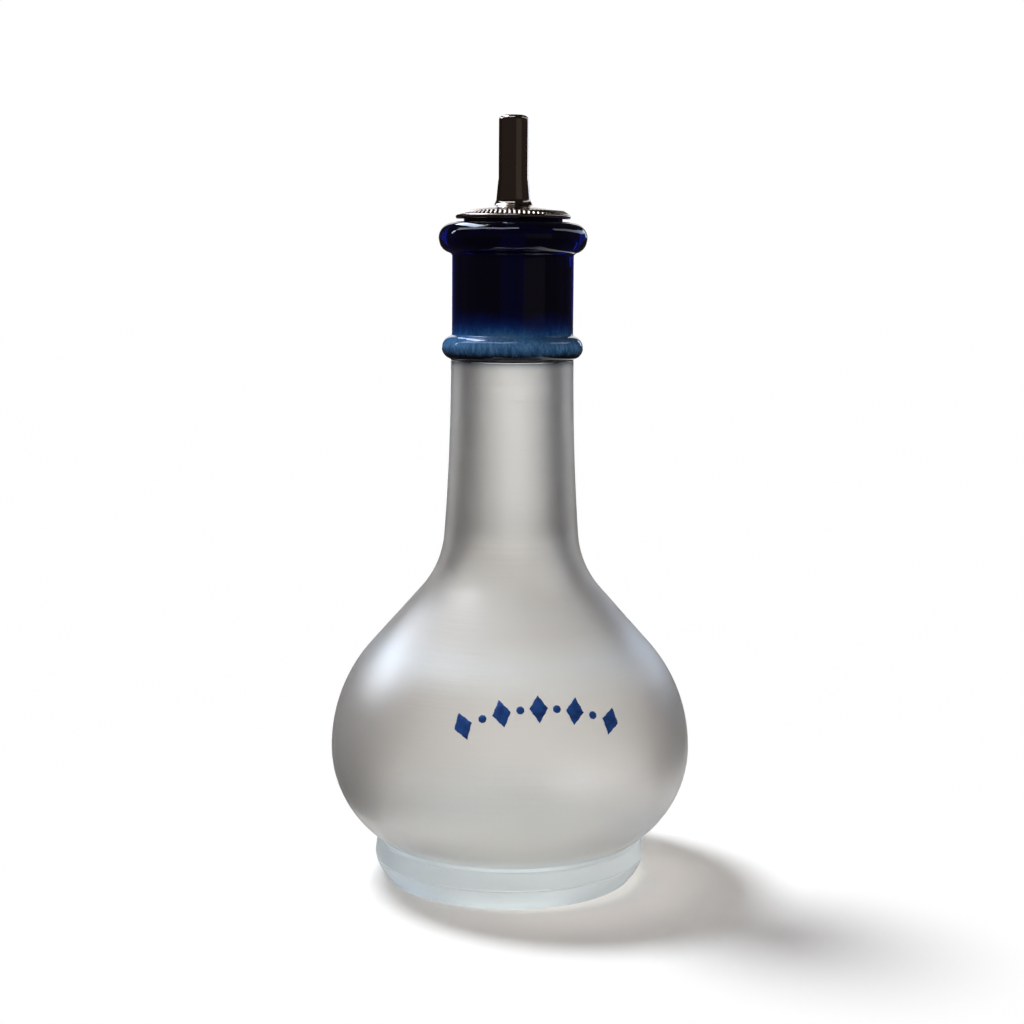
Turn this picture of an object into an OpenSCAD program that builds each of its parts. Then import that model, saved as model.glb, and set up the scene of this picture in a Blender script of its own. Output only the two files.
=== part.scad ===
// Bitters bottle: a frosted glass flask with a cobalt glass collar, closed by a
// metal dasher spout on a cork. Millimetres, +Z up. The origin is the centre of
// the ring that the foot stands on.

/* [Bulb] */
// Radius of the bulb at its widest
bulb_r = 36.2; // [30:0.1:46]
// Height of the widest place above the table
bulb_z = 26.4; // [24:0.1:34]
// Radius of the outline's arc above the widest place
bulb_up_r = 30.9; // [27:0.1:36]
// Angle above the horizontal where that arc runs out into the straight shoulder
shoulder_a = 41.6; // [36:0.1:48]
// Radius of the hollow arc between shoulder and neck
throat_r = 18.8; // [12:0.1:24]
// Thickness of the blown wall round the bulb
bulb_wall = 2.4; // [1.6:0.1:3.4]

/* [Foot] */
// Radius of the foot at the crease, its widest line
foot_r = 27.4; // [25:0.1:30]
// Height of the crease
foot_crease_z = 4.3; // [3:0.1:5.4]
// Height of the foot, up to the groove under the bulb
foot_h = 8; // [7.2:0.1:8.6]
// Opening of that groove, between the foot's top and the bulb
groove_open = 0.63; // [0.4:0.01:1]
// How much the upper band of the foot leans in
foot_lean = 0.4; // [0:0.1:0.8]
// How much the lower band draws in towards the table
foot_draw = 2; // [0.8:0.1:2.6]
// How far the lower band bulges between the crease and the table
foot_belly = 0.3; // [0:0.05:0.6]
// Width of the flat ring that touches the table
foot_ring = 2.8; // [1.6:0.1:5]
// Depth of the hollow under the foot
punt_h = 1.6; // [0.6:0.1:2.6]

/* [Neck] */
// Outer radius of the frosted neck where it meets the collar
neck_r = 12.15; // [11.2:0.05:13.4]
// Radius of the long arc in which the neck spreads downwards
neck_arc_r = 475; // [380:5:620]
// Height where the frosted neck ends and the collar begins
neck_z = 104.4; // [90:0.1:125]
// Radius of the bore that takes the cork
bore_r = 8.3; // [7.4:0.05:8.8]

/* [Collar] */
// Height of the collar, bead and lip included
collar_h = 27; // [24:0.1:32]
// Outer radius of the collar between bead and lip
collar_r = 12.08; // [11.6:0.02:12.8]
// Thickness of the cobalt glass that is cased over the neck
casing = 1.7; // [1.2:0.1:2.2]
// Largest radius of the bead at the bottom of the collar
bead_r = 14.03; // [13.2:0.05:15]
// Radius of the bead's round section
bead_round = 2.45; // [2:0.05:2.8]
// Largest radius of the rolled lip
lip_r = 14.73; // [13.8:0.05:16]
// Radius of the lip's round section
lip_round = 3.1; // [2.6:0.05:3.6]
// Thickness of the lip where it turns in over the end of the neck
lip_cap = 2.4; // [1.6:0.1:3]

/* [Dasher] */
// Radius of the disc, over its milled rim
disc_r = 11.4; // [10.4:0.05:13]
// Thickness of the disc's plain edge
disc_t = 0.95; // [0.8:0.05:1.4]
// Rise of the disc from the milled band to the foot of the trumpet
disc_rise = 0.8; // [0.4:0.05:1.4]
// Number of grooves in the milled band on the rim
mill_n = 70; // [48:1:80]
// Width of the milled band, measured outwards
mill_w = 1.2; // [0.8:0.05:1.6]
// Rise of the milled band from the edge inwards
mill_rise = 0.75; // [0.4:0.05:1]
// Depth of the grooves
mill_depth = 0.28; // [0.15:0.01:0.35]
// Length of the spout above the disc's seat
spout_h = 20.1; // [16:0.1:32]
// Outer radius of the drawn spout tube
spout_r = 2.94; // [2.6:0.02:3.4]
// Radius of the spout's bore
spout_bore_r = 1.6; // [1:0.05:1.9]
// Radius of the rounded tip
tip_round = 1; // [0.5:0.05:1.1]
// Height of the trumpet that rises from the disc round the tube
trumpet_h = 7.6; // [6:0.1:9]
// Radius of the tight curve at the foot of the trumpet
trumpet_r = 1.7; // [1.1:0.05:2]
// Metal left at the trumpet's upper edge
trumpet_edge = 0.08; // [0.06:0.01:0.2]

/* [Stopper] */
// Length of the cork below the disc
cork_l = 18.5; // [14:0.1:24]
// How much narrower the cork's radius is at its lower end
cork_taper = 0.4; // [0:0.05:0.8]
// Bevel on the cork's lower edge
cork_bevel = 0.6; // [0.3:0.1:1]
// Gap between the cork or the spout's end and the glass
cork_gap = 0.3; // [0.2:0.05:0.5]
// Thickness of the seal ring between disc and lip
seal_t = 0.5; // [0.4:0.05:1]
// Outer radius of the seal ring
seal_r = 9.7; // [9.4:0.05:10.2]
// How much wider than the bore the seal ring's hole is, as a radius
seal_ease = 0.05; // [0.02:0.01:0.2]
// Radius of the end washer under the cork
washer_r = 5.4; // [4.6:0.1:6.4]
// Thickness of the end washer
washer_t = 0.6; // [0.4:0.05:1]
// How far the tube's end is rolled out under the washer
roll_w = 0.8; // [0.5:0.05:1.2]
// Thickness of that rolled end
roll_t = 0.7; // [0.5:0.05:1]

/* [Hidden] */

// Small roundings and chamfers
groove_r = 0.6;
groove_turn = 60;
foot_edge = 0.35;
foot_edge_turn = 30;
bead_fillet = 0.45;
bead_nip = 0.2;
bead_lift = 0.1;
lip_fillet = 0.6;
mouth_round = 0.5;
rim_round = 0.5;
rim_ledge = 0.3;
trumpet_flare = 0.32;
trumpet_dip = 5;
bore_break = 0.3;

// How far a cut runs past the surfaces it opens
over = 1;

// Heights that the pieces share
lip_z = neck_z + collar_h;
spigot_z = lip_z - lip_cap;
seat_z = lip_z + seal_t;
cork_z = seat_z - cork_l;
washer_z = cork_z - washer_t;
spout_end_z = washer_z - roll_t;
tip_z = seat_z + spout_h;

// Radii that the pieces share
spigot_r = collar_r - casing;
cork_r = bore_r - cork_gap;

// Point on the bulb's outline over the groove, and the arc from it to the widest
// place, which stands upright there
groove = [foot_r - groove_r, foot_h + groove_open];
bulb_low_r = (pow(bulb_r - groove.x, 2) + pow(bulb_z - groove.y, 2)) / (2 * (bulb_r - groove.x));
groove_a = -acos((groove.x - bulb_r + bulb_low_r) / bulb_low_r);

// Lower outer and upper inner edge of the milled band
mill_out = [disc_r - rim_ledge, seat_z + disc_t];
mill_in = mill_out + [-mill_w, mill_rise];

// Steps of the long arcs and of the small ones, in degrees
long_step = 3;
small_step = 10;
$fn = 96;

// Points of an arc with centre c and radius r, from angle a0 to angle a1
function arc(c, r, a0, a1, step = small_step) =
    let (n = max(1, ceil(abs(a1 - a0) / step)))
    [for (i = [0:n]) c + r * dir(a0 + (a1 - a0) * i / n)];

// Points of a shallow arc from p to q that bulges by h to the right of the way
function bow(p, q, h) =
    let (
        half = norm(q - p) / 2,
        r = (half * half + h * h) / (2 * h),
        way = angle(q - p),
        reach = asin(half / r),
        c = (p + q) / 2 + (r - h) * dir(way + 90)
    )
    arc(c, r, way - 90 - reach, way - 90 + reach, 5);

// Unit vector at an angle
function dir(a) = [cos(a), sin(a)];

// Angle of a vector
function angle(v) = atan2(v.y, v.x);

// Centre of a hollow fillet of radius f that touches, from outside, a round
// section of centre c and radius r and the wall at radius w. side is 1 above
// the section and -1 below it.
function nook(c, r, w, f, side) =
    [w + f, c.y + side * sqrt(pow(r + f, 2) - pow(w + f - c.x, 2))];

// Outline of the flask, from the angle low_a on the bulb's lower arc up to the
// neck's top: an arc, a second arc, the straight shoulder, the hollow throat and
// the long arc of the neck, each tangent to the next. inset moves the bulb's
// outline inwards by the thickness of the wall, and top_r is the radius at the top.
function flask_line(inset, top_r, low_a) =
    let (
        low_c = [bulb_r - bulb_low_r, bulb_z],
        up_c = [bulb_r - bulb_up_r, bulb_z],
        up_r = bulb_up_r - inset,
        hollow_r = throat_r + inset,
        neck_c = [top_r + neck_arc_r, neck_z],
        out = dir(shoulder_a),
        along = dir(shoulder_a + 90),
        // Where the throat's centre would be with no straight shoulder
        start = up_c + (up_r + hollow_r) * out,
        rel = start - neck_c,
        b = rel * along,
        c = rel * rel - pow(neck_arc_r - hollow_r, 2),
        throat_c = start + (sqrt(b * b - c) - b) * along,
        meet_a = angle(neck_c - throat_c) + 180
    )
    concat(
        arc(low_c, bulb_low_r - inset, low_a, 0, long_step),
        arc(up_c, up_r, long_step, shoulder_a, long_step),
        arc(throat_c, hollow_r, shoulder_a + 180, meet_a, long_step),
        arc(neck_c, neck_arc_r, meet_a, 180, 1)
    );

// Outline of the foot, from the table ring up to the groove under the bulb
function foot_line() =
    let (
        ring_r = foot_r - foot_draw,
        top_r = foot_r - foot_lean
    )
    concat(
        arc([ring_r - foot_edge, foot_edge], foot_edge, -90, foot_edge_turn - 90),
        bow([ring_r, foot_edge], [foot_r, foot_crease_z], foot_belly),
        arc([top_r - groove_r, foot_h - groove_r], groove_r, 0, groove_turn)
    );

// Hollow under the foot, a shallow dome inside the table ring
function punt_line() =
    let (
        edge_r = foot_r - foot_draw - foot_edge - foot_ring,
        dome_r = (edge_r * edge_r + punt_h * punt_h) / (2 * punt_h),
        dome_a = acos(edge_r / dome_r)
    )
    arc([0, punt_h - dome_r], dome_r, 90, dome_a, 1);

module bottle_body() {
    color([0.85, 0.87, 0.86])
    rotate_extrude($fn = 120)
    difference() {
        polygon(concat(
            punt_line(),
            foot_line(),
            flask_line(0, neck_r, groove_a),
            [[spigot_r, neck_z], [spigot_r, spigot_z], [0, spigot_z]]
        ));
        polygon(concat(
            [[0, bulb_z - bulb_low_r + bulb_wall]],
            flask_line(bulb_wall, bore_r, -90),
            [[bore_r, spigot_z + over], [0, spigot_z + over]]
        ));
    }
}

// Outline of the collar's bead, from the frosted neck up to the plain wall
function bead_line() =
    let (
        c = [bead_r - bead_round, neck_z + bead_round + bead_lift],
        low = nook(c, bead_round, neck_r, bead_nip, -1),
        high = nook(c, bead_round, collar_r, bead_fillet, 1)
    )
    concat(
        [[neck_r, neck_z]],
        arc(c, bead_round, angle(low - c), angle(high - c)),
        arc(high, bead_fillet, angle(c - high) + 360, 180)
    );

// Outline of the rolled lip, from the plain wall round to its flat top
function lip_line() =
    let (
        c = [lip_r - lip_round, lip_z - lip_round],
        low = nook(c, lip_round, collar_r, lip_fillet, -1)
    )
    concat(
        arc(low, lip_fillet, 180, angle(c - low)),
        arc(c, lip_round, angle(low - c), 90),
        arc([bore_r + mouth_round, lip_z - mouth_round], mouth_round, 90, 180)
    );

module neck_collar() {
    color([0.05, 0.10, 0.36])
    rotate_extrude($fn = 120)
    polygon(concat(
        [[spigot_r, neck_z]],
        bead_line(),
        lip_line(),
        [[bore_r, spigot_z], [spigot_r, spigot_z]]
    ));
}

module seal_ring() {
    color([0.10, 0.10, 0.11])
    translate([0, 0, lip_z])
    difference() {
        cylinder(r = seal_r, h = seal_t);
        translate([0, 0, -over]) cylinder(r = bore_r + seal_ease, h = seal_t + 2 * over);
    }
}

module cork_bung() {
    color([0.66, 0.50, 0.33])
    difference() {
        rotate_extrude()
        polygon([
            [0, cork_z],
            [cork_r - cork_taper - cork_bevel, cork_z],
            [cork_r - cork_taper, cork_z + cork_bevel],
            [cork_r, seat_z],
            [0, seat_z],
        ]);
        spout_hole();
    }
}

// The hole that the spout tube fills in the disc, the cork and the end washer
module spout_hole() {
    translate([0, 0, spout_end_z - over])
    cylinder(r = spout_r, h = tip_z - spout_end_z);
}

// Outline of the disc and of the trumpet that rises from it round the tube
function disc_line() =
    let (
        top = [spout_r + trumpet_edge, seat_z + trumpet_h],
        curl_c = [top.x + trumpet_flare + trumpet_r, mill_in.y + disc_rise + trumpet_r]
    )
    concat(
        [[0, seat_z]],
        arc([disc_r - rim_round, seat_z + rim_round], rim_round, -90, 50),
        [mill_out, mill_in],
        arc(curl_c, trumpet_r, 270 - trumpet_dip, 180),
        [top, [0, top.y]]
    );

// One straight V groove along the slope of the milled band
module mill_groove() {
    mid = (mill_out + mill_in) / 2;
    slope = atan2(mill_rise, mill_w);
    translate([mid.x, 0, mid.y])
    rotate([0, slope, 0]) rotate([90, 0, 90])
    linear_extrude(mill_w + 2 * over, center = true)
    polygon([[0, -mill_depth], [mill_depth, mill_depth], [-mill_depth, mill_depth]]);
}

module cap_disc() {
    color([0.36, 0.33, 0.31])
    difference() {
        rotate_extrude() polygon(disc_line());
        spout_hole();
        for (i = [0:mill_n - 1]) rotate(i * 360 / mill_n) mill_groove();
    }
}

module spout_tube() {
    color([0.42, 0.38, 0.36])
    rotate_extrude()
    polygon(concat(
        [[spout_bore_r, spout_end_z], [spout_r + roll_w, spout_end_z]],
        [[spout_r + roll_w, washer_z], [spout_r, washer_z]],
        arc([spout_r - tip_round, tip_z - tip_round], tip_round, 0, 90),
        arc([spout_bore_r + bore_break, tip_z - bore_break], bore_break, 90, 180)
    ));
}

module end_washer() {
    color([0.50, 0.47, 0.44])
    difference() {
        translate([0, 0, washer_z]) cylinder(r = washer_r, h = washer_t);
        spout_hole();
    }
}

bottle_body();
neck_collar();
seal_ring();
cork_bung();
cap_disc();
spout_tube();
end_washer();
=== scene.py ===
# %% [markdown]
# # A bitters bottle, piece by piece
#
# This lesson dresses a small bar bottle: a frosted glass flask on a turned foot, with a cobalt
# glass collar, closed by a metal dasher spout on a cork. The working model gives every piece its
# place and size. We load it first. Everything is in metres, with +Z up.

# %% Load the working model
import math
import bpy
import numpy as np
from mathutils import Matrix, Vector


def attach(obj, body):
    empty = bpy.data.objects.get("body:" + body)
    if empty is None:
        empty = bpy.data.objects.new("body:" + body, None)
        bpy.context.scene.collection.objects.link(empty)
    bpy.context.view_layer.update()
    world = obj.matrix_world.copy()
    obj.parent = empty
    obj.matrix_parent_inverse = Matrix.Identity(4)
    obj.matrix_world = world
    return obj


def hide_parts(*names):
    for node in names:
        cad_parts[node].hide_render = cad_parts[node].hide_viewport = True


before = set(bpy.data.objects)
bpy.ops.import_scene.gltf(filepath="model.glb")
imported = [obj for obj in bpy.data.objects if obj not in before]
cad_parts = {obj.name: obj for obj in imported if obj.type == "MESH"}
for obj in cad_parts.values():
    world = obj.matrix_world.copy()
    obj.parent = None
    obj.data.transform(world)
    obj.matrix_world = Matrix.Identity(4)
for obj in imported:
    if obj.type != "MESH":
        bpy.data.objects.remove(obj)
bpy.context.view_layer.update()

# %% [markdown]
# ## Sizes of the glass and the metal
#
# A lathe drawing is the natural way to note a bottle, because every piece is round about
# one upright axis. The numbers below are its sizes in millimetres. Where two pieces
# meet, one value serves both, so they can't drift apart.

# %% Sizes in millimetres
BULB_R, BULB_Z = 36.2, 26.4                         # the bulb's widest place
BULB_UP_R, SHOULDER_A = 30.9, 41.6                  # arc above it, and the shoulder's angle
THROAT_R, WALL = 18.8, 2.4                          # hollow arc under the neck, blown wall
FOOT_R, FOOT_H, CREASE_Z = 27.4, 8.0, 4.3
FOOT_LEAN, FOOT_DRAW, FOOT_BELLY = 0.4, 2.0, 0.3    # upper band, lower band and its bulge
FOOT_RING, FOOT_EDGE, PUNT_H = 2.8, 0.35, 1.6       # what it stands on, hollow inside that
CREASE_W, CREASE_DEEP, CREASE_LIP = 0.22, 0.2, 0.03     # the mould's fine nick
GROOVE_R, GROOVE_OPEN = 0.6, 0.63                   # groove between foot and bulb
NECK_R, NECK_ARC_R, NECK_Z, BORE_R = 12.15, 475.0, 104.4, 8.3
FROST_TOP = 104.3                                   # how far up the acid reached
LIP_Z, SPIGOT_Z, SPIGOT_R = 131.4, 129.0, 10.38
COLLAR_R, BEAD_R, BEAD_ROUND, LIP_R, LIP_ROUND = 12.08, 14.03, 2.45, 14.73, 3.1
SEAT_Z, DISC_R, DISC_T, DISC_RISE = 131.9, 11.4, 0.95, 0.8
MILL_N, MILL_W, MILL_RISE, MILL_DEPTH = 70, 1.2, 0.75, 0.28
SPOUT_R, SPOUT_BORE_R, TIP_Z, TIP_ROUND = 2.94, 1.6, 152.0, 1.0
SPOUT_END_Z, ROLL_W, ROLL_T = 112.1, 0.8, 0.7
TRUMPET_Z, TRUMPET_R, TRUMPET_EDGE, TRUMPET_FLARE = 139.5, 1.7, 0.08, 0.32
FUSE, HAIR = 0.02, 0.005        # air between the two glasses, and between disc and tube
MM = 0.001
print("bottle", 2 * BULB_R, "mm wide,", TIP_Z, "mm high")

# %% [markdown]
# ## Lines for the lathe
#
# A turned piece is a flat line swept round the axis. Glass has no sharp corners, so the
# lines are chains of arcs that run smoothly into each other. Working them out from radii
# and angles, as a draughtsman would, keeps each curve clean at any fineness.

# %% Arcs
def direction(angle):
    """Unit vector at an angle in degrees: cosine across, sine up."""
    return np.array([math.cos(math.radians(angle)), math.sin(math.radians(angle))])


def angle_of(vector):
    """Angle of a flat vector in degrees, by the arctangent of up over across."""
    return math.degrees(math.atan2(vector[1], vector[0]))


def arc(centre, radius, start, end, step=6.0):
    """Points on a circle: centre plus radius times the unit vector, whose angle goes
    evenly from start to end."""
    count = max(2, math.ceil(abs(end - start) / step) + 1)
    angles = np.radians(np.linspace(start, end, count))
    return np.asarray(centre) + radius * np.stack([np.cos(angles), np.sin(angles)], axis=1)


def bow(first, last, height, step=3.0):
    """A shallow arc between two points. Its radius is half the chord squared plus the
    height squared, over twice the height."""
    first, last = np.asarray(first), np.asarray(last)
    half = np.linalg.norm(last - first) / 2
    radius = (half ** 2 + height ** 2) / (2 * height)
    way = angle_of(last - first)
    spread = math.degrees(math.asin(half / radius))
    centre = (first + last) / 2 + (radius - height) * direction(way + 90)
    return arc(centre, radius, way - 90 - spread, way - 90 + spread, step)


def line(*parts):
    """One profile from several runs of points, in order, with doubled points left out."""
    points = np.concatenate([np.atleast_2d(part) for part in parts])
    apart = np.linalg.norm(np.diff(points, axis=0), axis=1) > 1e-6
    return points[np.concatenate([[True], apart])]


# %% [markdown]
# ## The sweep
#
# Two parameters make every turned surface: how far along the profile, and how far round.
# We compute all points at once as an array and hand them to the mesh. Where the profile
# touches the axis, the whole ring is one point, so the pole closes cleanly.

# %% Joining rings
def ring_faces(sizes, around, loop):
    """Faces between each ring of points and the next. A ring's size is the number of its
    points: all the way round, or one where the surface closes. A face takes two
    neighbours here and the same two on the next ring, and drops a doubled corner."""
    index = (np.cumsum(sizes) - sizes)[:, None] + np.arange(around) % sizes[:, None]
    here = np.arange(len(sizes) if loop else len(sizes) - 1)
    there = (here + 1) % len(sizes)
    beside = np.roll(index, -1, axis=1)
    quads = np.stack([index[here], beside[here], beside[there], index[there]], axis=2)
    return [tuple(dict.fromkeys(face)) for face in quads.reshape(-1, 4).tolist()]


def new_piece(name, points, faces, sharp=38):
    """A mesh and its object. Edges that bend more than the sharp angle stay hard."""
    mesh = bpy.data.meshes.new(name)
    mesh.from_pydata(points.tolist(), [], faces)
    mesh.validate()
    mesh.shade_smooth()
    mesh.set_sharp_from_angle(angle=math.radians(sharp))
    piece = bpy.data.objects.new(name, mesh)
    bpy.context.collection.objects.link(piece)
    print(name, "has", len(faces), "faces")
    return piece


# %% Sweep a profile round the axis
def sweep(name, profile, around, shape=None):
    """A closed surface of revolution. Point (i, j) is profile point i, turned by j
    steps: across times cosine, across times sine, up. A profile that doesn't start on
    the axis is a loop. shape may move the points."""
    turn = np.linspace(0, 2 * np.pi, around, endpoint=False)
    r, t = np.meshgrid(profile[:, 0], turn, indexing="ij")
    z = np.repeat(profile[:, 1:2], around, axis=1)
    if shape is not None:
        r, z = shape(r, z, t)
    grid = np.stack([r * np.cos(t), r * np.sin(t), z], axis=2) * MM
    on_axis = profile[:, 0] < 1e-6
    sizes = np.where(on_axis, 1, around)
    points = grid[np.arange(around) < sizes[:, None]]
    return new_piece(name, points, ring_faces(sizes, around, not on_axis[0]))


# %% [markdown]
# ## The camera
#
# The photograph was taken from close by with a longish lens, a little above the bottle.
# Its place, tilt and lens were worked out from the bottle's rings: how flat each ellipse
# looks tells how far above it the camera stood.

# %% Camera
CAMERA_PLACE = (0.0, -0.370, 0.1254)
CAMERA_YAW, CAMERA_PITCH, CAMERA_ROLL = 0.00036, 0.1383, 0.0065   # radians
FOCAL_PIXELS, IMAGE_PIXELS, SENSOR = 1862.0, 1024, 36.0


def camera_axes(yaw, pitch, roll):
    """Right, up and backward vectors: the view tilts down by the pitch, right and up then
    turn about it by the roll, as cosine and sine mixes of each other."""
    ahead = np.array([math.sin(yaw) * math.cos(pitch), math.cos(yaw) * math.cos(pitch),
                      -math.sin(pitch)])
    right = np.array([math.cos(yaw), -math.sin(yaw), 0.0])
    up = np.cross(right, ahead)
    right, up = (math.cos(roll) * right + math.sin(roll) * up,
                 -math.sin(roll) * right + math.cos(roll) * up)
    return np.stack([right, up, -ahead], axis=1)


lens = bpy.data.cameras.new("camera")
lens.sensor_width, lens.sensor_fit = SENSOR, "HORIZONTAL"
lens.lens = FOCAL_PIXELS / IMAGE_PIXELS * SENSOR
lens.clip_start, lens.clip_end = 0.01, 50
camera = bpy.data.objects.new("camera", lens)
bpy.context.collection.objects.link(camera)
turned = Matrix(camera_axes(CAMERA_YAW, CAMERA_PITCH, CAMERA_ROLL).tolist())
camera.matrix_world = Matrix.Translation(CAMERA_PLACE) @ turned.to_4x4()
bpy.context.scene.camera = camera
print("lens", round(lens.lens, 2), "mm")

# %% [markdown]
# ## Small helpers for materials
#
# Colours are written as they look on a screen, in hex, and turned into light values by
# one function. Another adds a node, sets it and links it, so that a material reads as a
# short list of steps. A pattern's scale is noted as the real size of its grain.

# %% Helpers for materials
def hex_light(text):
    """Linear colour from sRGB hex: each channel over 255, then divided by 12.92 when
    dark, else plus 0.055, over 1.055, to the power 2.4."""
    screen = np.array([int(text[i:i + 2], 16) for i in (1, 3, 5)]) / 255
    light = np.where(screen <= 0.04045, screen / 12.92, ((screen + 0.055) / 1.055) ** 2.4)
    return (*light.tolist(), 1.0)


def per(size):
    """How many grains of a size in millimetres fit in a metre, which is a pattern's scale."""
    return 1 / (size * MM)


def add(tree, kind, inputs=None, stops=(), **settings):
    """Add a node, give it its settings, and set or link its inputs. Where it holds a row
    of colours, stops are pairs of a place from 0 to 1 and a hex colour."""
    made = tree.nodes.new(kind)
    for key, value in settings.items():
        setattr(made, key, value)
    for key, value in (inputs or {}).items():
        if isinstance(value, bpy.types.NodeSocket):
            tree.links.new(value, made.inputs[key])
        else:
            made.inputs[key].default_value = value
    if stops:
        marks = made.color_ramp.elements
        while len(marks) < len(stops):
            marks.new(0.5)
        for mark, (place, colour) in zip(marks, stops):
            mark.position, mark.color = place, hex_light(colour)
    return made


def new_finish(name):
    """An empty material with its output node."""
    material = bpy.data.materials.new(name)
    material.use_nodes = True
    material.node_tree.nodes.clear()
    print("finish", name)
    return material, material.node_tree, material.node_tree.nodes.new("ShaderNodeOutputMaterial")


# %% [markdown]
# ## Frosted glass
#
# The flask is soda-lime glass, IOR 1.52, whose outside was dipped in acid. The acid
# leaves microscopic pits, so light goes through but is scattered on the way: the eye
# gets a soft satin with no picture behind it. The pits are far too small to draw, so
# roughness stands for them. A faint bump of 0.4 mm grain shows where the bath bit
# unevenly, and fainter level rings are left from turning the hot glass. Inside, the
# glass was never dipped and stays clear.

# %% Glass and the lamps
def let_lamps_through(tree, output, glass, tint):
    """Light from the lamps crosses the glass on its way to the table and is tinted, less
    of it where the glass is seen edge-on, so that the shadow is that of glass."""
    lamps = add(tree, "ShaderNodeLightPath").outputs["Is Shadow Ray"]
    edge = add(tree, "ShaderNodeLayerWeight", {"Blend": 0.35}).outputs["Facing"]
    open_part = add(tree, "ShaderNodeMath", {0: 1.0, 1: edge}, operation="SUBTRACT")
    share = add(tree, "ShaderNodeMath", {0: lamps, 1: open_part.outputs[0]}, operation="MULTIPLY")
    passed = add(tree, "ShaderNodeBsdfTransparent", {"Color": hex_light(tint)})
    mixed = add(tree, "ShaderNodeMixShader", {
        0: share.outputs[0], 1: glass.outputs["BSDF"], 2: passed.outputs[0]})
    tree.links.new(mixed.outputs[0], output.inputs["Surface"])


# %% Frosted glass and clear glass
# Painted light and shade among these stops: the bluish foot up to 8 mm is a painted reflection, the
# bluish stop at 48 mm a painted band of light, the grey from 53 to 66 mm painted shade on the
# shoulder, and the dark last two stops painted shade under the collar's bead.
FROST_TINTS_AND_PAINTED_LIGHT = [       # height in millimetres, and the colour there: the glass's tint with painted light and shade
    (0, "#e9f6fa"), (8, "#edf7fa"), (11, "#ece8e4"), (42, "#ece8e4"), (48, "#eaeef0"),
    (53, "#dedad6"), (66, "#e4e1dd"), (78, "#f8f7f5"), (103.0, "#f8f7f5"),
    (103.8, "#c6ccd4"), (104.3, "#3c4654")]


def frosted_glass():
    """Acid-etched glass, a milky satin. Its colour changes with the height, partly its own tint and
    partly painted light and shade: bluish in the foot as a painted reflection, warmer up the bulb,
    a bluish painted band of light where the shoulder starts, greyer on the shoulder as painted
    shade, and dark in the last millimetre of the neck as painted shade under the collar's bead."""
    material, tree, output = new_finish("acid_etched_glass")
    place = add(tree, "ShaderNodeTexCoord").outputs["Object"]
    height = add(tree, "ShaderNodeSeparateXYZ", {"Vector": place}).outputs["Z"]
    level = add(tree, "ShaderNodeMapRange", {"Value": height, "From Max": FROST_TOP * MM})
    # the colour by height: the glass's tint with painted light and shade
    tint = add(tree, "ShaderNodeValToRGB", {"Fac": level.outputs["Result"]},
               stops=[(high / FROST_TOP, colour) for high, colour in FROST_TINTS_AND_PAINTED_LIGHT])
    cloud = add(tree, "ShaderNodeTexNoise", {"Vector": place, "Scale": per(22.2), "Detail": 3.0})
    rough = add(tree, "ShaderNodeMapRange", {
        "Value": cloud.outputs["Fac"], "From Min": 0.3, "From Max": 0.7,
        "To Min": 0.40, "To Max": 0.46})
    grain = add(tree, "ShaderNodeTexNoise", {"Vector": place, "Scale": per(0.4), "Detail": 2.0})
    pitted = add(tree, "ShaderNodeBump", {
        "Height": grain.outputs["Fac"], "Strength": 0.2, "Distance": 0.05 * MM})
    rings = add(tree, "ShaderNodeMapping", {
        "Vector": place, "Scale": (per(40), per(40), per(0.909))})
    drawn = add(tree, "ShaderNodeTexNoise", {
        "Vector": rings.outputs["Vector"], "Scale": 1.0, "Detail": 3.0})
    turned_glass = add(tree, "ShaderNodeBump", {
        "Height": drawn.outputs["Fac"], "Strength": 0.22, "Distance": 0.25 * MM,
        "Normal": pitted.outputs["Normal"]})
    glass = add(tree, "ShaderNodeBsdfPrincipled", {
        "Base Color": tint.outputs["Color"], "Roughness": rough.outputs["Result"], "IOR": 1.52,
        "Transmission Weight": 0.90, "Normal": turned_glass.outputs["Normal"]})
    let_lamps_through(tree, output, glass, "#948a81")
    return material


def clear_glass():
    """The same glass, only fire-polished: smooth and nearly without colour, so the eye
    sees it by its reflections."""
    material, tree, output = new_finish("clear_soda_glass")
    glass = add(tree, "ShaderNodeBsdfPrincipled", {
        "Base Color": hex_light("#f8f8f5"), "Roughness": 0.03, "IOR": 1.52,
        "Transmission Weight": 1.0})
    let_lamps_through(tree, output, glass, "#f2eee8")
    return material


FROSTED, CLEAR = frosted_glass(), clear_glass()

# %% [markdown]
# ## The flask
#
# The outside is a chain of tangent arcs: the bulb below its widest place, the bulb above
# it, a straight shoulder, the hollow throat, and one very long arc for the neck. The
# inside follows the same chain one wall further in. The foot was shaped in a mould and
# has a crease round it. We sweep outside and inside as one closed skin, because light
# must enter and leave the glass.

# %% Outline of the flask
GROOVE = np.array([FOOT_R - GROOVE_R, FOOT_H + GROOVE_OPEN])
BULB_LOW_R = ((BULB_R - GROOVE[0]) ** 2 + (BULB_Z - GROOVE[1]) ** 2) / (2 * (BULB_R - GROOVE[0]))
GROOVE_A = -math.degrees(math.acos((GROOVE[0] - BULB_R + BULB_LOW_R) / BULB_LOW_R))


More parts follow.
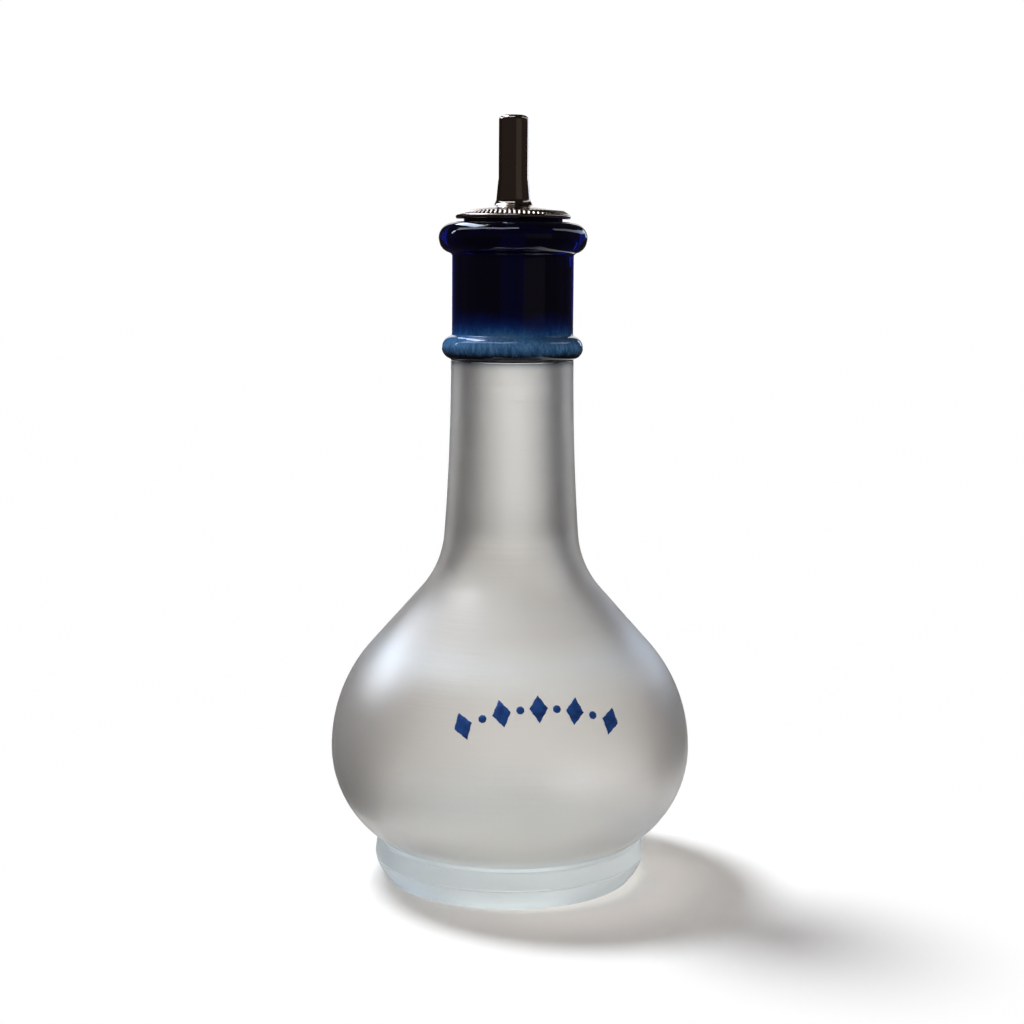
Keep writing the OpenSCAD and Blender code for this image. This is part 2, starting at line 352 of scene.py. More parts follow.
def flask_line(inset, top_r, low_a, step=2.0, neck_step=0.25):
    """Bulb, shoulder, throat and neck. The throat's centre is where a circle that rolls
    up along the shoulder first touches the neck's arc."""
    up_c, up_r = np.array([BULB_R - BULB_UP_R, BULB_Z]), BULB_UP_R - inset
    hollow_r = THROAT_R + inset
    neck_c = np.array([top_r + NECK_ARC_R, NECK_Z])
    start = up_c + (up_r + hollow_r) * direction(SHOULDER_A)
    along = direction(SHOULDER_A + 90)
    b = (start - neck_c) @ along
    c = (start - neck_c) @ (start - neck_c) - (NECK_ARC_R - hollow_r) ** 2
    throat_c = start + (math.sqrt(b * b - c) - b) * along
    meet = angle_of(neck_c - throat_c) + 180
    return line(arc([BULB_R - BULB_LOW_R, BULB_Z], BULB_LOW_R - inset, low_a, 0, step),
                arc(up_c, up_r, 0, SHOULDER_A, step),
                arc(throat_c, hollow_r, SHOULDER_A + 180, meet, step),
                arc(neck_c, NECK_ARC_R, meet, 180, neck_step))


def foot_line():
    """Hollow, table ring, lower band with its belly, crease, upper band and groove."""
    ring_r, top_r, crease_r = FOOT_R - FOOT_DRAW, FOOT_R - FOOT_LEAN, FOOT_R - CREASE_LIP
    hollow = ring_r - FOOT_EDGE - FOOT_RING
    dome_r = (hollow ** 2 + PUNT_H ** 2) / (2 * PUNT_H)
    dome_a = math.degrees(math.acos(hollow / dome_r))
    return line(arc([0, PUNT_H - dome_r], dome_r, 90, dome_a, 0.5),
                arc([ring_r - FOOT_EDGE, FOOT_EDGE], FOOT_EDGE, -90, -60),
                bow([ring_r, FOOT_EDGE], [crease_r, CREASE_Z - CREASE_W], FOOT_BELLY),
                [FOOT_R - CREASE_DEEP, CREASE_Z], [crease_r, CREASE_Z + CREASE_W],
                arc([top_r - GROOVE_R, FOOT_H - GROOVE_R], GROOVE_R, 0, 60))


outside = line(foot_line(), flask_line(0, NECK_R, GROOVE_A))
above = outside[:, 1] > FROST_TOP
edge_r = np.interp(FROST_TOP, outside[:, 1], outside[:, 0])
outside = line(outside[~above], [edge_r, FROST_TOP], outside[above])
inside = line([0, BULB_Z - BULB_LOW_R + WALL], flask_line(WALL, BORE_R, -90))
glass_skin = line(outside, [SPIGOT_R, NECK_Z], [SPIGOT_R, SPIGOT_Z], [BORE_R, SPIGOT_Z],
                  inside[::-1])
glass_skin[[0, -1], 0] = 0.0
print("the skin's line has", len(glass_skin), "points")

# %% The flask
GLASS_AROUND = 192
frosted_bands = np.sum(outside[:, 1] < FROST_TOP + 1e-6) - 1     # the rest is clear

flask = sweep("frosted_flask", glass_skin, GLASS_AROUND)
flask.data.materials.append(FROSTED)
flask.data.materials.append(CLEAR)
bands = np.arange(len(flask.data.polygons)) // GLASS_AROUND
flask.data.polygons.foreach_set("material_index", (bands >= frosted_bands).astype(np.int32))
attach(flask, "bottle")
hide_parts("bottle_body")
print("frosted up to", FROST_TOP, "mm")

# %% [markdown]
# ## The enamel ornament
#
# Bar bottles of this kind are often decorated in blue enamel, screened on and fired, so
# it stands a tenth of a millimetre proud of the glass. Ours is a plain arched row of
# lozenges and dots. Each is a thin cushion that follows the bulb, made as real geometry
# so that it also shows from the side. All cushions are worked out as one array.

# %% Enamel
def fired_enamel():
    """Glass powder fired on: opaque cobalt blue, slightly uneven, with a dull gloss."""
    material, tree, output = new_finish("fired_blue_enamel")
    place = add(tree, "ShaderNodeTexCoord").outputs["Object"]
    patchy = add(tree, "ShaderNodeTexNoise", {"Vector": place, "Scale": per(1.43), "Detail": 4.0})
    tint = add(tree, "ShaderNodeValToRGB", {"Fac": patchy.outputs["Fac"]},
               stops=[(0.35, "#163f86"), (0.6, "#2257a8")])
    bump = add(tree, "ShaderNodeBump", {
        "Height": patchy.outputs["Fac"], "Strength": 0.3, "Distance": 0.06 * MM})
    enamel = add(tree, "ShaderNodeBsdfPrincipled", {
        "Base Color": tint.outputs["Color"], "Roughness": 0.38, "Normal": bump.outputs["Normal"]})
    tree.links.new(enamel.outputs["BSDF"], output.inputs["Surface"])
    return material


# %% The ornament
CUSHIONS, CUSHION_RINGS, CUSHION_AROUND = 9, 6, 40
ARCH_TURN, ARCH_HALF, ARCH_TILT, ARCH_SAG = 9.5, 24.5, 29.0, 6.5     # degrees on the bulb
ENAMEL_T, ENAMEL_LIFT, ENAMEL_ROOT = 0.12, 0.01, 0.15               # mm, out of and into the glass
LOZENGE, DOT_R = (1.75, 2.7), 0.75                                  # mm, half sizes


def cushion_grid():
    """Cushion k sits on the arch at an even step of turn; the arch sags by the square of
    that step. A lozenge's edge is 1 over the sum of cosine over its width and sine over
    its height, and a dot's edge is its radius. The top rises as 1 minus the fourth power
    of the way out, and the back lies inside the glass. A flat point (u, v) in millimetres
    goes on the bulb by angles: v over the arc's radius up, u over the distance round."""
    step = np.linspace(-1, 1, CUSHIONS)[:, None, None]
    out = np.linspace(0, 1, CUSHION_RINGS)[None, :, None]
    t = np.linspace(0, 2 * np.pi, CUSHION_AROUND, endpoint=False)[None, None, :]
    edge = 1 / (np.abs(np.cos(t)) / LOZENGE[0] + np.abs(np.sin(t)) / LOZENGE[1])
    edge = np.where(np.arange(CUSHIONS)[:, None, None] % 2 == 0, edge, DOT_R)
    ragged = 1 + 0.03 * np.sin(7 * t + 5 * step) + 0.02 * np.sin(17 * t - 9 * step)
    across, along = out * edge * ragged * np.cos(t), out * edge * ragged * np.sin(t)
    lean = -np.arctan(2 * ARCH_SAG * step * BULB_UP_R / (ARCH_HALF * BULB_R))
    u = across * np.cos(lean) - along * np.sin(lean)
    v = across * np.sin(lean) + along * np.cos(lean)
    tilt = np.radians(ARCH_TILT - ARCH_SAG * step ** 2) + v / BULB_UP_R
    sides = []
    for lift in (ENAMEL_T * (1 - out ** 4) + ENAMEL_LIFT, -ENAMEL_ROOT * np.ones_like(out)):
        r = BULB_R - BULB_UP_R + (BULB_UP_R + lift) * np.cos(tilt)
        z = BULB_Z + (BULB_UP_R + lift) * np.sin(tilt)
        turn = np.radians(ARCH_TURN + ARCH_HALF * step - 90) + u / r
        sides.append(np.stack([r * np.cos(turn), r * np.sin(turn), z], axis=3) * MM)
    return np.concatenate([sides[1], sides[0][:, ::-1]], axis=1)


sizes = np.full(2 * CUSHION_RINGS, CUSHION_AROUND)
sizes[[0, -1]] = 1                                  # the middles of back and top
spots = cushion_grid()[:, np.arange(CUSHION_AROUND) < sizes[:, None]]
one = ring_faces(sizes, CUSHION_AROUND, loop=False)
faces = [tuple(corner + k * spots.shape[1] for corner in face)
         for k in range(CUSHIONS) for face in one]
ornament = new_piece("enamel_band", spots.reshape(-1, 3), faces, sharp=50)
ornament.data.materials.append(fired_enamel())
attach(ornament, "bottle")

# %% [markdown]
# ## The cobalt collar
#
# Cobalt oxide colours glass so strongly that 2 mm of it looks almost black with light in front, and
# deep blue where light comes through. The collar is a second gather fused over the neck, with a
# bead at its foot and a rolled lip. Towards the bead the colour was breathed on thinner and grainy,
# so the bead is a mottled steel blue. Up the collar the colour is painted darker, partly its own
# deeper blue and partly painted shade of the cork behind it, and the bead's underside is painted
# nearly black as shade.

# %% Cobalt glass
# Painted shade: below the second pair of heights the bead's underside is painted nearly black;
# between the first pair the collar is painted darker upward, its own deeper blue with painted shade
# of the cork behind it.
DEEPENS_WITH_PAINTED_SHADE, BEAD_PAINTED_SHADE = (109.2, 118.4), (106.2, 108.0)    # mm, heights where the shade changes
DEEPENS_RAGGED, BEAD_PAINTED_SHADE_RAGGED = 2.4, 1.2            # mm that streaks pull those edges
BREATHED = [(0.36, "#3f74ac"), (0.5, "#568ec8"), (0.66, "#76aade")]
DEEPER_WITH_PAINTED_SHADE = [(0.24, "#4a84be"), (0.32, "#2c64a4"), (0.41, "#174a90"), (0.54, "#052a72"),
          (0.70, "#021862"), (1.0, "#04105c")]


def cobalt_glass():
    """Glossy cased glass, steel blue on the bead, with painted shade nearly black on the bead's
    underside, deeper up the collar, partly its own colour and partly painted shade of the cork
    behind it, with upright streaks that make the edges of each shade ragged."""
    material, tree, output = new_finish("cobalt_glass")
    place = add(tree, "ShaderNodeTexCoord").outputs["Object"]
    height = add(tree, "ShaderNodeSeparateXYZ", {"Vector": place}).outputs["Z"]
    upright = add(tree, "ShaderNodeMapping", {"Vector": place, "Scale": (1.0, 1.0, 0.3)})
    streak = add(tree, "ShaderNodeTexNoise", {
        "Vector": upright.outputs["Vector"], "Scale": per(0.769), "Detail": 4.0,
        "Roughness": 0.7}).outputs["Fac"]
    drift = add(tree, "ShaderNodeTexNoise", {
        "Vector": place, "Scale": per(9.09), "Detail": 1.0}).outputs["Fac"]
    mottle = add(tree, "ShaderNodeMath", {0: streak, 1: drift}, operation="ADD").outputs[0]
    ragged = add(tree, "ShaderNodeMath", {0: mottle, 1: DEEPENS_RAGGED * MM, 2: height},
                 operation="MULTIPLY_ADD").outputs[0]
    # the collar darkens upward: its own deeper blue, partly painted shade of the cork behind it
    level = add(tree, "ShaderNodeMapRange", {
        "Value": ragged, "From Min": DEEPENS_WITH_PAINTED_SHADE[0] * MM,
        "From Max": DEEPENS_WITH_PAINTED_SHADE[1] * MM}).outputs["Result"]
    patchy = add(tree, "ShaderNodeValToRGB", {"Fac": streak}, stops=BREATHED).outputs["Color"]
    deeper = add(tree, "ShaderNodeValToRGB", {"Fac": level}, stops=DEEPER_WITH_PAINTED_SHADE).outputs["Color"]
    thin = add(tree, "ShaderNodeMapRange", {
        "Value": level, "From Min": 0.16, "From Max": 0.30,
        "To Min": 1.0, "To Max": 0.0}).outputs["Result"]
    shade = add(tree, "ShaderNodeMix", {"Factor": thin, "A": deeper, "B": patchy},
                data_type="RGBA").outputs["Result"]
    # painted shade: the bead's underside below these heights is mixed towards near-black
    rim = add(tree, "ShaderNodeMath", {0: streak, 1: BEAD_PAINTED_SHADE_RAGGED * MM, 2: height},
              operation="MULTIPLY_ADD").outputs[0]
    painted_shade = add(tree, "ShaderNodeMapRange", {
        "Value": rim, "From Min": BEAD_PAINTED_SHADE[0] * MM, "From Max": BEAD_PAINTED_SHADE[1] * MM,
        "To Min": 1.0, "To Max": 0.0}).outputs["Result"]
    colour = add(tree, "ShaderNodeMix", {"Factor": painted_shade, "A": shade, "B": hex_light("#050b18")},
                 data_type="RGBA").outputs["Result"]
    through = add(tree, "ShaderNodeMapRange", {
        "Value": level, "From Min": 0.3, "From Max": 0.8,
        "To Min": 0.35, "To Max": 0.95}).outputs["Result"]
    glass = add(tree, "ShaderNodeBsdfPrincipled", {
        "Base Color": colour, "Roughness": 0.04, "IOR": 1.54, "Transmission Weight": through})
    let_lamps_through(tree, output, glass, "#6a86c0")
    return material


# %% The collar
BEAD_LIFT, BEAD_NIP, BEAD_FILLET, LIP_FILLET, MOUTH_ROUND = 0.1, 0.2, 0.45, 0.6, 0.5
WALL_RINGS = [113.0, 118.0, 122.0]     # on the plain wall, so that no face is very long


def nook(centre, radius, wall, fillet, side):
    """Centre of a hollow fillet that touches a round section and an upright wall: at the
    wall plus the fillet across, and up or down by Pythagoras."""
    across = wall + fillet
    up = math.sqrt((radius + fillet) ** 2 - (across - centre[0]) ** 2)
    return np.array([across, centre[1] + side * up])


bead_c = np.array([BEAD_R - BEAD_ROUND, NECK_Z + BEAD_ROUND + BEAD_LIFT])
bead_low = nook(bead_c, BEAD_ROUND, NECK_R, BEAD_NIP, -1)
bead_high = nook(bead_c, BEAD_ROUND, COLLAR_R, BEAD_FILLET, 1)
lip_c = np.array([LIP_R - LIP_ROUND, LIP_Z - LIP_ROUND])
lip_low = nook(lip_c, LIP_ROUND, COLLAR_R, LIP_FILLET, -1)
collar_line = line(
    [SPIGOT_R + FUSE, NECK_Z + FUSE], [NECK_R, NECK_Z + FUSE],
    arc(bead_c, BEAD_ROUND, angle_of(bead_low - bead_c), angle_of(bead_high - bead_c)),
    arc(bead_high, BEAD_FILLET, angle_of(bead_c - bead_high) + 360, 180, 12),
    [[COLLAR_R, z] for z in WALL_RINGS],
    arc(lip_low, LIP_FILLET, 180, angle_of(lip_c - lip_low), 12),
    arc(lip_c, LIP_ROUND, angle_of(lip_low - lip_c), 90),
    arc([BORE_R + MOUTH_ROUND, LIP_Z - MOUTH_ROUND], MOUTH_ROUND, 90, 180, 15),
    [BORE_R, SPIGOT_Z + FUSE], [SPIGOT_R + FUSE, SPIGOT_Z + FUSE])
collar = sweep("cobalt_collar", collar_line, GLASS_AROUND)
collar.data.materials.append(cobalt_glass())
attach(collar, "bottle")
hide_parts("neck_collar")

# %% [markdown]
# ## Polished metal
#
# The dasher is nickel silver, turned on a lathe and polished, gone brown with the years.
# A mirror shows the room rather than itself, so its own colour is a plain warm grey and
# the dark tent round the bottle makes it look brown. Fine rings from the polishing wheel
# soften the reflections a little. The real ones are 0.02 mm apart and couldn't show, so
# they are drawn at 0.1 mm.

# %% Metals
def polished_metal(name, colour, roughness, ring_depth):
    """Metal with level rings from the wheel, and smears of 5 mm where it's duller."""
    material, tree, output = new_finish(name)
    place = add(tree, "ShaderNodeTexCoord").outputs["Object"]
    squeezed = add(tree, "ShaderNodeMapping", {
        "Vector": place, "Scale": (per(16.7), per(16.7), per(0.111))})
    rings = add(tree, "ShaderNodeTexNoise", {
        "Vector": squeezed.outputs["Vector"], "Scale": 1.0, "Detail": 2.0})
    smear = add(tree, "ShaderNodeTexNoise", {"Vector": place, "Scale": per(4.55), "Detail": 3.0})
    dull = add(tree, "ShaderNodeMapRange", {
        "Value": smear.outputs["Fac"], "From Min": 0.35, "From Max": 0.7,
        "To Min": roughness, "To Max": roughness + 0.08})
    bump = add(tree, "ShaderNodeBump", {
        "Height": rings.outputs["Fac"], "Strength": ring_depth, "Distance": 0.02 * MM})
    metal = add(tree, "ShaderNodeBsdfPrincipled", {
        "Base Color": hex_light(colour), "Metallic": 1.0, "Roughness": dull.outputs["Result"],
        "Normal": bump.outputs["Normal"]})
    tree.links.new(metal.outputs["BSDF"], output.inputs["Surface"])
    return material


NICKEL = polished_metal("polished_nickel_silver", "#a3978c", 0.10, 0.15)
STEEL = polished_metal("drawn_steel_tube", "#a3978c", 0.09, 0.08)
WASHER_STEEL = polished_metal("stamped_steel", "#9a948c", 0.28, 0.3)

# %% [markdown]
# ## The disc and its trumpet
#
# The disc was spun from sheet and drawn up in the middle into a trumpet that holds the
# tube. A milling wheel pressed about seventy fine grooves into its sloping rim, so that
# fingers can pull it. The grooves are a dip in the height, a function of the way round.

# %% The disc
RIM_ROUND, RIM_LEDGE, SEAT_RING = 0.5, 0.3, 6.0
POINTS_PER_GROOVE = 12
mill_out = np.array([DISC_R - RIM_LEDGE, SEAT_Z + DISC_T])
mill_in = mill_out + [-MILL_W, MILL_RISE]
curl_c = np.array([SPOUT_R + TRUMPET_EDGE + TRUMPET_FLARE + TRUMPET_R,
                   mill_in[1] + DISC_RISE + TRUMPET_R])
along_mill = np.linspace(0, 1, 9)[:, None]
disc_line = line(
    [SPOUT_R + HAIR, SEAT_Z], [SEAT_RING, SEAT_Z],
    arc([DISC_R - RIM_ROUND, SEAT_Z + RIM_ROUND], RIM_ROUND, -90, 50, 12),
    mill_out + along_mill * (mill_in - mill_out),
    arc(curl_c, TRUMPET_R, 265, 180, 5),
    [SPOUT_R + TRUMPET_EDGE, TRUMPET_Z], [SPOUT_R + HAIR, TRUMPET_Z])


def milled(r, z, t):
    """Lower the band by a groove's depth times the cosine of the grooves' number times
    the angle, halved and lifted so that it's never above the plain disc, to the power
    1.5 for narrow ridges. A sine over the band's width fades it out at both edges."""
    across = np.clip((mill_out[0] - r) / MILL_W, 0, 1)
    on_band = (z > mill_out[1] - 1e-6) & (z < mill_in[1] + 1e-6)
    dip = MILL_DEPTH * (0.5 - 0.5 * np.cos(MILL_N * t)) ** 1.5
    return r, z - on_band * dip * np.sin(np.pi * across) ** 0.6


disc = sweep("milled_disc", disc_line, MILL_N * POINTS_PER_GROOVE, shape=milled)
disc.data.materials.append(NICKEL)
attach(disc, "stopper")
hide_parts("cap_disc")

# %% [markdown]
# ## The spout tube
#
# A drawn tube with a rounded mouth. It goes down through disc and cork, and its lower
# end is rolled out under a washer, which holds the stopper together.

# %% The tube
WASHER_Z, BORE_BREAK = SPOUT_END_Z + ROLL_T - HAIR, 0.3
TUBE_RINGS, BORE_RINGS = [126.0, TRUMPET_Z, 143.0, 147.0], [140.0, 126.0]
tube_line = line(
    [SPOUT_BORE_R, SPOUT_END_Z], [SPOUT_R + ROLL_W, SPOUT_END_Z], [SPOUT_R + ROLL_W, WASHER_Z],
    [SPOUT_R, WASHER_Z], [[SPOUT_R, z] for z in TUBE_RINGS],
    arc([SPOUT_R - TIP_ROUND, TIP_Z - TIP_ROUND], TIP_ROUND, 0, 90),
    arc([SPOUT_BORE_R + BORE_BREAK, TIP_Z - BORE_BREAK], BORE_BREAK, 90, 180, 15),
    [[SPOUT_BORE_R, z] for z in BORE_RINGS])
tube = sweep("spout", tube_line, 96)
tube.data.materials.append(STEEL)
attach(tube, "stopper")
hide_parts("spout_tube")

# %% [markdown]
# ## Cork, seal and washer
#
# These three keep the shapes of the working model, which are right as they are. Cork is
# bark: a warm tan with dark pores that run across it. The seal is black rubber. The
# washer under the cork is plain stamped steel.

# %% Cork and rubber
def cork_bark():
    """Punched cork: matt, with cells of 1 mm and dark pores of 2 mm, longer across."""
    material, tree, output = new_finish("natural_cork")
    place = add(tree, "ShaderNodeTexCoord").outputs["Object"]
    cells = add(tree, "ShaderNodeTexVoronoi", {
        "Vector": place, "Scale": per(1.11), "Randomness": 1.0})
    across = add(tree, "ShaderNodeMapping", {"Vector": place, "Scale": (1.0, 1.0, 2.6)})
    pores = add(tree, "ShaderNodeTexNoise", {
        "Vector": across.outputs["Vector"], "Scale": per(2.38), "Detail": 4.0, "Roughness": 0.62})
    tint = add(tree, "ShaderNodeValToRGB", {"Fac": pores.outputs["Fac"]},
               stops=[(0.38, "#5b3c22"), (0.45, "#a67c4e"), (0.62, "#c49b6a")])
    bump = add(tree, "ShaderNodeBump", {
        "Height": pores.outputs["Fac"], "Strength": 0.5, "Distance": 0.2 * MM})
    fine = add(tree, "ShaderNodeBump", {
        "Height": cells.outputs["Distance"], "Strength": 0.3, "Distance": 0.1 * MM,
        "Normal": bump.outputs["Normal"]})
    cork = add(tree, "ShaderNodeBsdfPrincipled", {
        "Base Color": tint.outputs["Color"], "Roughness": 0.85, "Normal": fine.outputs["Normal"]})
    tree.links.new(cork.outputs["BSDF"], output.inputs["Surface"])
    return material


def black_rubber():
    """Moulded rubber: nearly black and dull, a little paler where it's dusty."""
    material, tree, output = new_finish("moulded_black_rubber")
    place = add(tree, "ShaderNodeTexCoord").outputs["Object"]
    dust = add(tree, "ShaderNodeTexNoise", {"Vector": place, "Scale": per(0.667), "Detail": 3.0})
    tint = add(tree, "ShaderNodeValToRGB", {"Fac": dust.outputs["Fac"]},
               stops=[(0.4, "#121213"), (0.7, "#1e1e20")])
    bump = add(tree, "ShaderNodeBump", {
        "Height": dust.outputs["Fac"], "Strength": 0.2, "Distance": 0.05 * MM})
    rubber = add(tree, "ShaderNodeBsdfPrincipled", {
        "Base Color": tint.outputs["Color"], "Roughness": 0.6, "Normal": bump.outputs["Normal"]})
    tree.links.new(rubber.outputs["BSDF"], output.inputs["Surface"])
    return material


# %% Dress the pieces of the working model
for node, material in {"cork_bung": cork_bark(), "seal_ring": black_rubber(),
                       "end_washer": WASHER_STEEL}.items():
    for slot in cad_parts[node].material_slots:
        slot.material = material
    print(node, "wears", material.name)

# %% [markdown]
# ## The stage
#
# A white table runs out to a white room. The table's own colour is a pale grey-white,
# so that it takes the bottle's shadow, and for eyes, mirrors and glass it glows a little
# on top, up to exactly white. The lamps stay at a plain level.

# %% Rays
def seen_directly(tree):
    """1 for rays from the eye, from mirrors and through glass, and 0 for the rest, by
    taking the largest of the three."""
    path = add(tree, "ShaderNodeLightPath").outputs
    seen = path["Is Camera Ray"]
    for kind in ("Is Glossy Ray", "Is Transmission Ray"):
        seen = add(tree, "ShaderNodeMath", {0: seen, 1: path[kind]}, operation="MAXIMUM").outputs[0]
    return seen


# %% Table
TABLE_HALF, TABLE_GLOW = 4.0, 0.2


def table_paper():
    """Smooth white paper, pale enough to take a shadow."""
    material, tree, output = new_finish("white_paper")
    lift = add(tree, "ShaderNodeMath", {0: seen_directly(tree), 1: TABLE_GLOW},
               operation="MULTIPLY")
    paper = add(tree, "ShaderNodeBsdfDiffuse", {"Color": hex_light("#e7e7e7")})
    glow = add(tree, "ShaderNodeEmission", {"Color": (1, 1, 1, 1), "Strength": lift.outputs[0]})
    both = add(tree, "ShaderNodeAddShader", {0: paper.outputs[0], 1: glow.outputs[0]})
    tree.links.new(both.outputs[0], output.inputs["Surface"])
    material.cycles.emission_sampling = "NONE"
    return material


corners = np.array([(-1, -1, 0), (1, -1, 0), (1, 1, 0), (-1, 1, 0)]) * TABLE_HALF
table = new_piece("table", corners, [(0, 1, 2, 3)])
table.data.materials.append(table_paper())

# %% Room
AMBIENT, WARM_WALLS = 0.20, "#fff2e6"       # how bright the room is for matt surfaces
room = bpy.data.worlds.new("room")
bpy.context.scene.world = room
room.use_nodes = True
room.node_tree.nodes.clear()
seen = seen_directly(room.node_tree)
level = add(room.node_tree, "ShaderNodeMapRange", {"Value": seen, "To Min": AMBIENT, "To Max": 1.0})
warmth = add(room.node_tree, "ShaderNodeMix", {
    "Factor": seen, "A": hex_light(WARM_WALLS), "B": hex_light("#ffffff")}, data_type="RGBA")
sky = add(room.node_tree, "ShaderNodeBackground", {
    "Color": warmth.outputs["Result"], "Strength": level.outputs["Result"]})
add(room.node_tree, "ShaderNodeOutputWorld", {"Surface": sky.outputs[0]})
room.cycles.sampling_method = "NONE"
print("room at", AMBIENT, "for matt surfaces")

# %% [markdown]
# ## Cards
#
# Around the camera the studio was dark, and glass and metal are seen by what they
# mirror. So a dark tent stands round the bottle, with an opening behind it that a bright
# panel fills: the glass shows the panel through itself, and the tent draws its edges.
# A window on the left and a hoop of light over the bottle make the soft highlights. Two
# small dark flags beside the neck keep those off the neck, so that they lie on the bulb.
# Dark sheets lie on the table out of the picture. Only mirrors and glass see any of it.

# %% Shapes of cards
def sky_patch(radius, azimuths, elevations, columns=40, rows=12):
    """Part of a sphere round the bottle. Azimuth 0 is behind it, and positive is to the
    right: sine and cosine of the azimuth times the cosine of the elevation, and its sine."""
    a, e = np.meshgrid(np.radians(np.linspace(*azimuths, columns)),
                       np.radians(np.linspace(*elevations, rows)))
    return radius * np.stack([np.sin(a) * np.cos(e), np.cos(a) * np.cos(e), np.sin(e)], axis=2)


def table_patch(left, right, front, back, height=0.0006):
    """A flat patch just over the table, between four straight edges."""
    x, y = np.meshgrid(np.linspace(left, right, 3), np.linspace(front, back, 3))
    return np.stack([x, y, np.full_like(x, height)], axis=2)


def wrap_patch(radius, azimuths, heights):
    """A patch of an upright cylinder round the bottle, between two azimuths and heights."""
    a, z = np.meshgrid(np.radians(np.linspace(*azimuths, 9)), np.linspace(*heights, 3))
    return np.stack([radius * np.sin(a), radius * np.cos(a), z], axis=2)


def hoop(radius, ways, degrees_wide, pieces=12):
    """A narrow band of light over the bottle, through directions given as azimuth and
    elevation. Between two of them it is straight, then drawn out to the radius, and it
    reaches half its width to both sides."""
    a, e = np.radians(ways).T
    ways = np.stack([np.sin(a) * np.cos(e), np.cos(a) * np.cos(e), np.sin(e)], axis=1)
    at = np.linspace(0, len(ways) - 1, pieces * (len(ways) - 1) + 1)
    middle = np.stack([np.interp(at, np.arange(len(ways)), ways[:, k]) for k in range(3)], axis=1)
    middle /= np.linalg.norm(middle, axis=1)[:, None]
    beside = np.cross(np.gradient(middle, axis=0), middle)
    beside *= math.tan(math.radians(degrees_wide / 2)) / np.linalg.norm(beside, axis=1)[:, None]
    return radius * np.stack([middle - beside, middle + beside], axis=1)


# %% Making a card
def card(name, points, colour, strength=1.0):
    """A grid of points joined into a sheet that glows evenly and casts no shadow. Rows
    and columns are the two parameters of its surface."""
    rows, columns = points.shape[:2]
    index = np.arange(rows * columns).reshape(rows, columns)
    quads = np.stack([index[:-1, :-1], index[1:, :-1], index[1:, 1:], index[:-1, 1:]], axis=2)
    sheet = new_piece(name, points.reshape(-1, 3), quads.reshape(-1, 4).tolist())
    material, tree, output = new_finish(name)
    glow = add(tree, "ShaderNodeEmission", {"Color": hex_light(colour), "Strength": strength})
    tree.links.new(glow.outputs[0], output.inputs["Surface"])
    material.cycles.emission_sampling = "NONE"
    sheet.data.materials.append(material)
    sheet.visible_camera = sheet.visible_diffuse = sheet.visible_shadow = False
    return sheet


# %% The cards
TENT, OPENING, PANEL_TOP = 1.6, 18, 30              # metres, degrees to a side, degrees up
SHEET_FRONT, SHEET_LEFT, SHEET_RIGHT = -0.044, -0.042, 0.08      # metres from the axis
DARK, DIM, GREY, WHITE = "#2e2825", "#3a3433", "#55504c", "#ffffff"
DAYLIGHT, PALE_DAYLIGHT = "#dbe8ff", "#e8f1ff"

# the tent: dark above and all round, a little paler low at the front, grey on the right
card("dark_tent", sky_patch(TENT, (OPENING, 360 - OPENING), (0, 90)), DARK)
card("dark_tent_top", sky_patch(TENT, (-OPENING, OPENING), (PANEL_TOP, 90)), DARK)
card("dim_front", sky_patch(TENT - 0.02, (60, 300), (0, 30)), DIM)
card("grey_wall", sky_patch(TENT - 0.04, (118, 160), (0, 28)), GREY)

# white panels: one behind, and one in front that only backs the glass in views from behind
card("light_panel", sky_patch(TENT - 0.02, (-OPENING, OPENING), (0, PANEL_TOP)), WHITE, 1.45)
front_panel = card("front_panel", sky_patch(TENT - 0.06, (155, 205), (0, PANEL_TOP)), WHITE, 1.3)
front_panel.visible_glossy = False

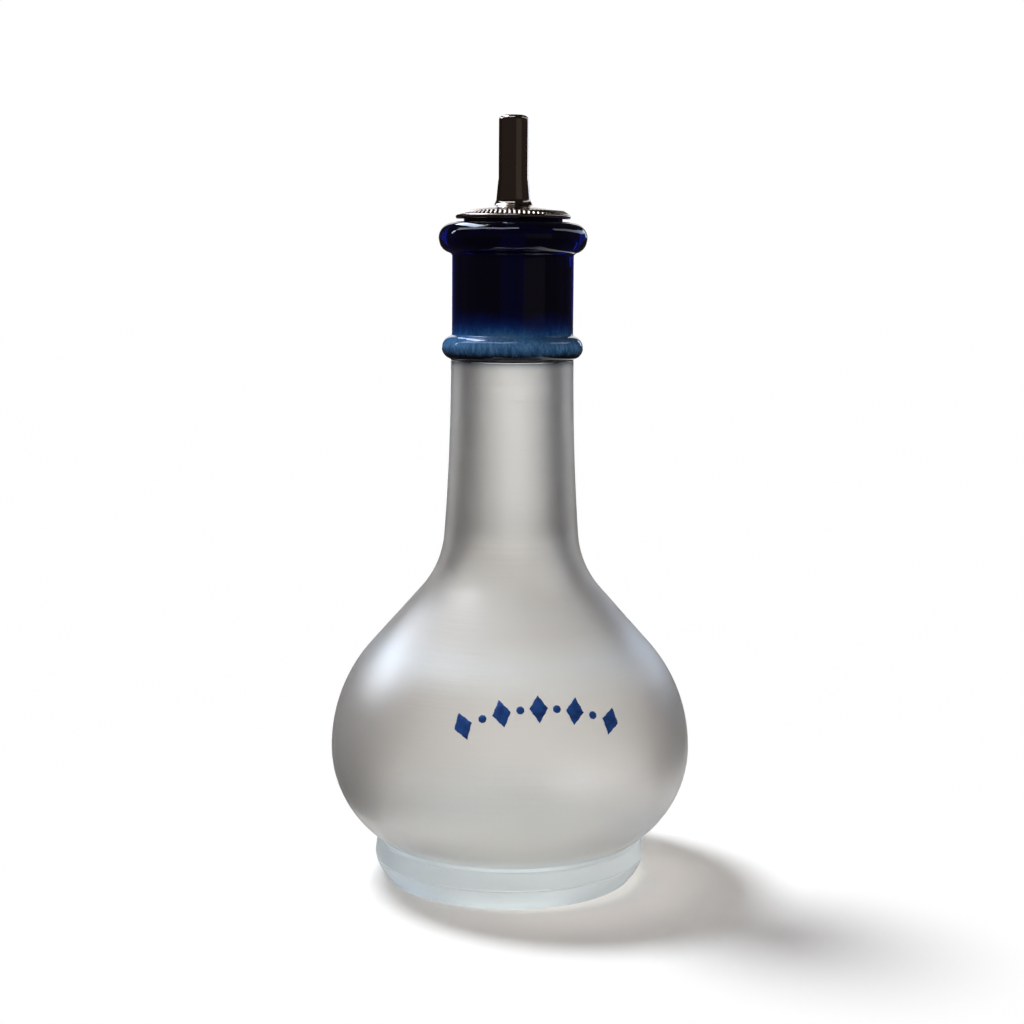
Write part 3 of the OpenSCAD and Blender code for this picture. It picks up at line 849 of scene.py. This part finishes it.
# daylight: from above on the left, from a window on the left, and from far on the right
card("soft_box", table_patch(-0.48, -0.28, 0.06, 1.0, height=0.8), DAYLIGHT, 9.0)
card("side_window", sky_patch(TENT - 0.1, (-70, -42), (21, 32)), PALE_DAYLIGHT, 13.5)
card("far_window", sky_patch(TENT - 0.1, (25, 45), (6, 20)), DAYLIGHT, 3.0)
HOOP_LEFT = [(-54, 29), (-70, 42), (-98, 56), (-150, 66), (163, 70)]
HOOP_RIGHT = [(95, 49), (60, 30), (36, 16)]
card("light_hoop_left", hoop(TENT - 0.12, HOOP_LEFT, 10), PALE_DAYLIGHT, 3.2)
card("light_hoop_right", hoop(TENT - 0.12, HOOP_RIGHT, 10), PALE_DAYLIGHT, 1.5)

# flags that shade the neck and the collar from it
card("left_flag", wrap_patch(0.065, (-78, -42), (0.080, 0.175)), DARK)
card("right_flag", wrap_patch(0.065, (42, 78), (0.068, 0.140)), DARK)

# sheets on the table, and a pale card that lights the foot from the right
front_sheet = card("dark_sheet_front", table_patch(-TENT, TENT, -TENT, SHEET_FRONT), DARK)
front_sheet.visible_transmission = False
card("dark_sheet_left", table_patch(-TENT, SHEET_LEFT, SHEET_FRONT, TENT), DARK)
card("dark_sheet_right", table_patch(SHEET_RIGHT, TENT, SHEET_FRONT, TENT), DARK)
card("bounce_card", table_patch(0.030, 0.050, SHEET_FRONT, 0.010), "#eef6ff", 0.8)

# %% [markdown]
# ## The lamp
#
# One lamp stands high, to the left and a little behind. Its direction was worked out
# from the bottle's tip and the end of its shadow, and its width from the shadow's blur.

# %% Lamp
KEY_TOWARDS, KEY_LEVEL, KEY_WIDTH = (-0.389, 0.292, 0.874), 3.03, 15.0      # width in degrees

light = bpy.data.lights.new("key_lamp", "SUN")
light.energy, light.angle = KEY_LEVEL, math.radians(KEY_WIDTH)
light.color = hex_light("#f9fcff")[:3]
key_lamp = bpy.data.objects.new("key_lamp", light)
key_lamp.rotation_euler = Vector(KEY_TOWARDS).to_track_quat("Z", "Y").to_euler()
bpy.context.collection.objects.link(key_lamp)
print("key lamp", round(math.degrees(math.asin(KEY_TOWARDS[2]))), "degrees up")

# %% [markdown]
#
# The picture is shown as it is, with no film look laid over it.

# %% Settings
bpy.context.scene.view_settings.view_transform = "Standard"
